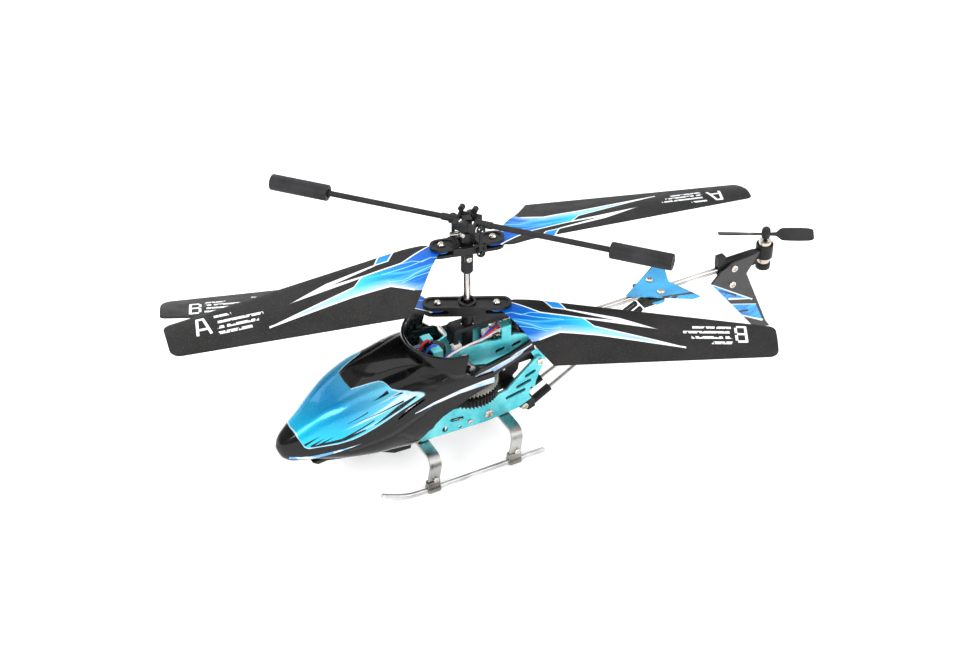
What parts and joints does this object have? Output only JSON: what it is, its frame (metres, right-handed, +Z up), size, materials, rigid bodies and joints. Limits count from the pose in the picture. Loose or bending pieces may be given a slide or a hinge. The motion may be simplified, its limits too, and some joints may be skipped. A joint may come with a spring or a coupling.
{
  "type": "remote control helicopter",
  "caption": "Palm-sized coaxial toy helicopter: nested rotor shafts, stabiliser bar, folding blades, metal plate frame, moulded canopy, tube boom, tail rotor and skids.",
  "frame": {"origin": "on the ground under the centre of the overall box at rest; the rotor shaft stands a little forward of it and to starboard", "axes": "+X to the nose, +Y to port, +Z up the rotor shaft"},
  "size_m": [0.224, 0.1128, 0.0911],
  "materials": {
    "canopy_shell": "gloss black shell with sky-blue painted hood",
    "black_plastic": "moulded, satin",
    "anodised_plate": "satin turquoise anodise",
    "steel": "polished",
    "satin_aluminium": "satin",
    "blade_plastic": "fine matte texture with blue printed flashes",
    "grey_nylon": "natural moulded",
    "board": "green circuit laminate",
    "foil": "silver pouch film",
    "blue_plastic": "bright blue",
    "lead_red": "wire jacket",
    "lead_blue": "wire jacket"
  },
  "bodies": {
    "chassis": {"lower_frame_left": "anodised_plate", "lower_frame_right": "anodised_plate", "upper_frame_left": "anodised_plate", "upper_frame_right": "anodised_plate", "core_frame": "black_plastic", "bearing_block": "black_plastic", "skid_mount": "black_plastic", "brace_mount": "black_plastic", "boom_clamp": "black_plastic", "front_motor": "steel", "rear_motor": "steel", "canopy": "canopy_shell", "belly_tray": "black_plastic", "battery": "foil", "receiver_board": "board", "switch_body": "black_plastic", "front_motor_lead": "lead_red", "rear_motor_lead": "lead_blue", "tail_boom": "steel", "brace_left": "steel", "brace_right": "steel", "stabiliser_clamp": "black_plastic", "stabiliser": "blue_plastic", "tail_mount": "black_plastic", "tail_fin": "black_plastic", "tail_motor": "steel", "front_hoop": "satin_aluminium", "rear_hoop": "satin_aluminium", "skid_left": "satin_aluminium", "front_clamp_left": "black_plastic", "rear_clamp_left": "black_plastic", "skid_right": "satin_aluminium", "front_clamp_right": "black_plastic", "rear_clamp_right": "black_plastic"},
    "upper_head": {"inner_shaft": "steel", "inner_gear": "black_plastic", "rotor_head": "black_plastic"},
    "lower_head": {"outer_shaft": "black_plastic", "outer_gear": "grey_nylon", "lower_hub": "black_plastic", "lower_screw_front": "steel", "lower_screw_rear": "steel"},
    "front_motor_spindle": {"front_motor_shaft": "steel"},
    "rear_motor_spindle": {"rear_motor_shaft": "steel"},
    "stabiliser_bar": {"flybar": "black_plastic", "flybar_weight_front": "black_plastic", "flybar_weight_rear": "black_plastic"},
    "blade_grip": {"upper_grip": "black_plastic", "upper_screw_front": "steel", "upper_screw_rear": "steel"},
    "left_link": {"link_left": "black_plastic"},
    "right_link": {"link_right": "black_plastic"},
    "upper_front_blade": {"upper_blade_front": "blade_plastic"},
    "upper_rear_blade": {"upper_blade_rear": "blade_plastic"},
    "lower_front_blade": {"lower_blade_front": "blade_plastic"},
    "lower_rear_blade": {"lower_blade_rear": "blade_plastic"},
    "tail_spinner": {"tail_rotor": "black_plastic"},
    "switch_knob": {"switch_slider": "steel"}
  },
  "joints": [
    {"name": "upper_rotor_spin", "type": "hinge", "parent": "chassis", "child": "upper_head", "pos_m": [0.01564, -0.00318, 0.07002], "axis": [0, 0, 1], "continuous": true},
    {"name": "lower_rotor_spin", "type": "hinge", "parent": "chassis", "child": "lower_head", "pos_m": [0.01564, -0.00318, 0.05002], "axis": [0, 0, 1], "continuous": true},
    {"name": "front_motor_spin", "type": "hinge", "parent": "chassis", "child": "front_motor_spindle", "pos_m": [0.02704, -0.00318, 0.02402], "axis": [0, 0, 1], "continuous": true},
    {"name": "rear_motor_spin", "type": "hinge", "parent": "chassis", "child": "rear_motor_spindle", "pos_m": [0.00424, -0.00318, 0.02822], "axis": [0, 0, 1], "continuous": true},
    {"name": "flybar_teeter", "type": "hinge", "parent": "upper_head", "child": "stabiliser_bar", "pos_m": [0.01564, -0.00318, 0.08792], "axis": [0.7373, 0.6756, 0], "range_deg": [-10, 10]},
    {"name": "grip_feather", "type": "hinge", "parent": "upper_head", "child": "blade_grip", "pos_m": [0.01564, -0.00318, 0.07942], "axis": [0.9778, -0.2096, 0], "range_deg": [-11.3, 11.3]},
    {"name": "left_link_swing", "type": "hinge", "parent": "stabiliser_bar", "child": "left_link", "pos_m": [0.01362, 0.00196, 0.08692], "axis": [0.7373, 0.6756, 0], "range_deg": [-10, 10]},
    {"name": "right_link_swing", "type": "hinge", "parent": "stabiliser_bar", "child": "right_link", "pos_m": [0.01767, -0.00832, 0.08692], "axis": [0.7373, 0.6756, 0], "range_deg": [-10, 10]},
    {"name": "upper_front_blade_fold", "type": "hinge", "parent": "blade_grip", "child": "upper_front_blade", "pos_m": [0.02356, -0.00488, 0.07922], "axis": [0, 0, 1], "range_deg": [-60, 60]},
    {"name": "upper_rear_blade_fold", "type": "hinge", "parent": "blade_grip", "child": "upper_rear_blade", "pos_m": [0.00772, -0.00148, 0.07922], "axis": [0, 0, 1], "range_deg": [-60, 60]},
    {"name": "lower_front_blade_fold", "type": "hinge", "parent": "lower_head", "child": "lower_front_blade", "pos_m": [0.02383, -0.00726, 0.05582], "axis": [0, 0, 1], "range_deg": [-60, 60]},
    {"name": "lower_rear_blade_fold", "type": "hinge", "parent": "lower_head", "child": "lower_rear_blade", "pos_m": [0.00745, 0.0009, 0.05582], "axis": [0, 0, 1], "range_deg": [-60, 60]},
    {"name": "tail_rotor_spin", "type": "hinge", "parent": "chassis", "child": "tail_spinner", "pos_m": [-0.09721, -0.00318, 0.04662], "axis": [0, 0, 1], "continuous": true},
    {"name": "power_switch", "type": "slide", "parent": "chassis", "child": "switch_knob", "axis": [1, 0, 0], "range_m": [0, 0.002]}
  ],
  "couplings": [
    {"joint": "front_motor_spin", "follows": "upper_rotor_spin", "ratio": -5.3333},
    {"joint": "rear_motor_spin", "follows": "lower_rotor_spin", "ratio": -5.3333},
    {"joint": "grip_feather", "follows": "flybar_teeter", "ratio": 1.1215},
    {"joint": "left_link_swing", "follows": "flybar_teeter", "ratio": -1},
    {"joint": "right_link_swing", "follows": "flybar_teeter", "ratio": -1}
  ]
}
